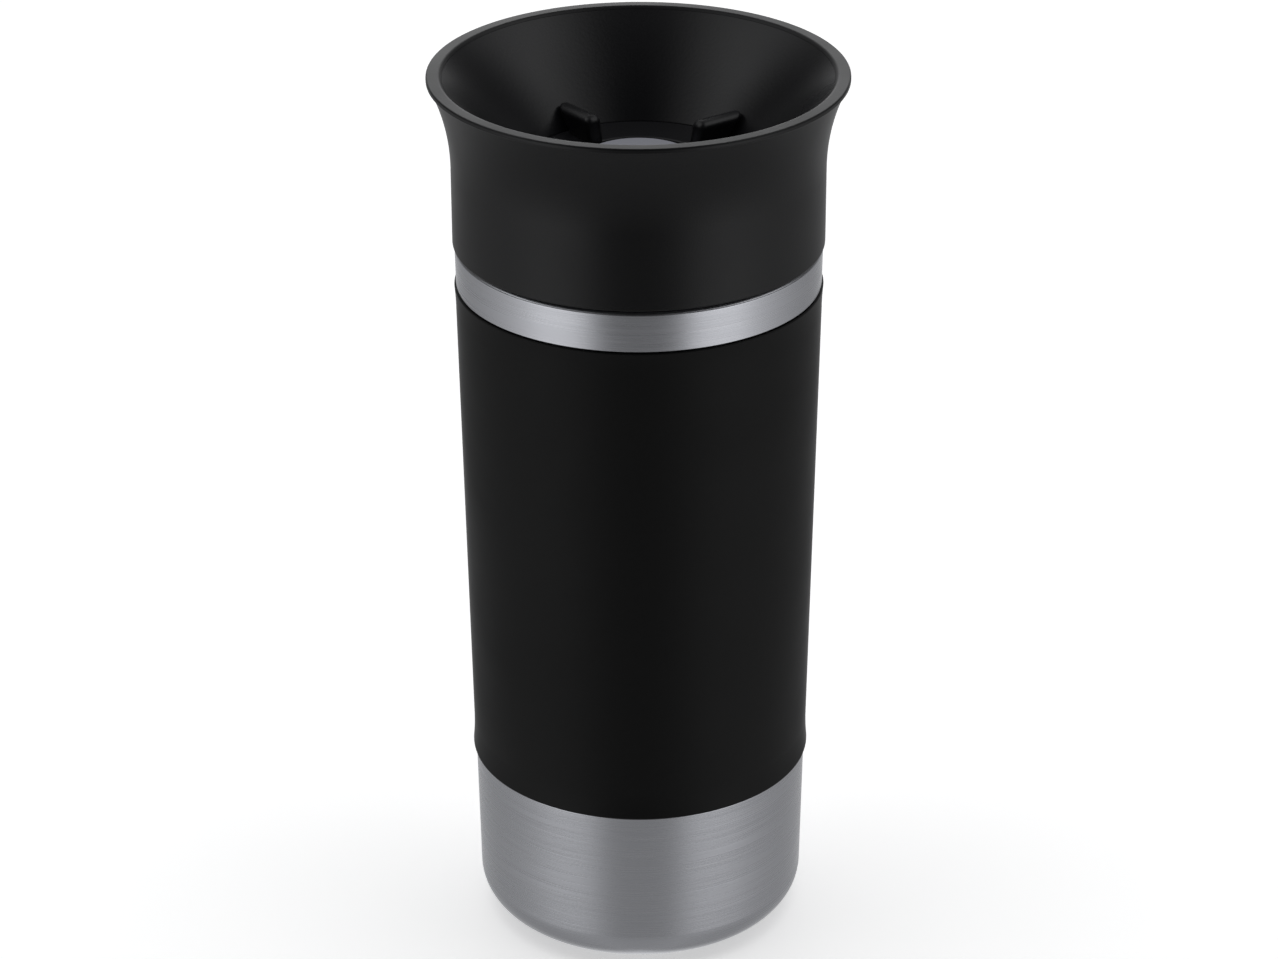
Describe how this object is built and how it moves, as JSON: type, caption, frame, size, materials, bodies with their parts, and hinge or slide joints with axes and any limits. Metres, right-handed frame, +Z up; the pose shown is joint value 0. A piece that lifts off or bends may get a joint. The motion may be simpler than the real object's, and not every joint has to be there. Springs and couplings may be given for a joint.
{
  "type": "insulated tumbler with lid",
  "caption": "Tapered double-wall steel tumbler with a soft grip sleeve and a flared black screw lid that opens by a round push button in its funnel.",
  "frame": {"origin": "centre of the flat underside that the tumbler stands on", "axes": "+Z up along the axis of the body, towards the drinking lip; X and Y are across it"},
  "size_m": [0.0892, 0.0892, 0.1991],
  "materials": {
    "brushed_steel_shell": "fine circumferential brushing",
    "plain_steel": "drawn and electropolished, semi-bright",
    "copper_foil": "bright rolled foil",
    "solder": "dull, as melted",
    "black_silicone": "matte moulded",
    "black_plastic": "satin moulded with a very fine grain",
    "grey_plastic": "satin moulded",
    "white_plastic": "plain moulded acetal",
    "clear_silicone": "milky translucent silicone"
  },
  "bodies": {
    "mug": {"outer_shell": "brushed_steel_shell", "inner_shell": "plain_steel", "base_plate": "plain_steel", "vacuum_seal_bead": "solder", "getter": "plain_steel", "copper_foil": "copper_foil", "foot_pad": "black_silicone", "grip_sleeve": "black_silicone"},
    "lid_seal": {"lid_seal_ring": "clear_silicone"},
    "lid": {"lid_collar": "black_plastic", "lid_funnel": "black_plastic", "lid_plug": "black_plastic"},
    "closure_seal": {"closure_seal_ring": "clear_silicone"},
    "closure": {"closure_cap": "black_plastic", "closure_cage": "black_plastic", "cam_sleeve": "white_plastic", "return_spring": "plain_steel"},
    "button": {"button_cap": "grey_plastic", "button_plunger": "white_plastic", "button_seal": "clear_silicone", "valve_stem": "plain_steel", "valve_disc": "black_plastic", "valve_seal": "clear_silicone", "valve_clip": "plain_steel"},
    "latch": {"latch_rotor": "white_plastic"}
  },
  "joints": [
    {"name": "lid_lift", "type": "slide", "parent": "mug", "child": "lid_seal", "axis": [0, 0, 1], "range_m": [0, 0.026]},
    {"name": "lid_turn", "type": "hinge", "parent": "lid_seal", "child": "lid", "pos_m": [0, 0, 0.17], "axis": [0, 0, 1], "range_deg": [0, 660]},
    {"name": "closure_lift", "type": "slide", "parent": "lid", "child": "closure_seal", "axis": [0, 0, 1], "range_m": [0, 0.0545]},
    {"name": "closure_turn", "type": "hinge", "parent": "closure_seal", "child": "closure", "pos_m": [0, 0, 0.17], "axis": [0, 0, 1], "range_deg": [0, 540]},
    {"name": "button_press", "type": "slide", "parent": "closure", "child": "button", "axis": [0, 0, -1], "range_m": [0, 0.0045], "stiffness_N_per_m": 600, "springref_m": -0.003, "deforming": ["return_spring"]},
    {"name": "latch_turn", "type": "hinge", "parent": "button", "child": "latch", "pos_m": [0, 0, 0.163], "axis": [0, 0, 1], "range_deg": [0, 45.1]}
  ],
  "couplings": [
    {"joint": "lid_lift", "follows": "lid_turn", "m_per_rad": 0.0022282},
    {"joint": "closure_lift", "follows": "closure_turn", "m_per_rad": 0.0057296},
    {"joint": "latch_turn", "follows": "button_press", "rad_per_m": 174.5}
  ]
}
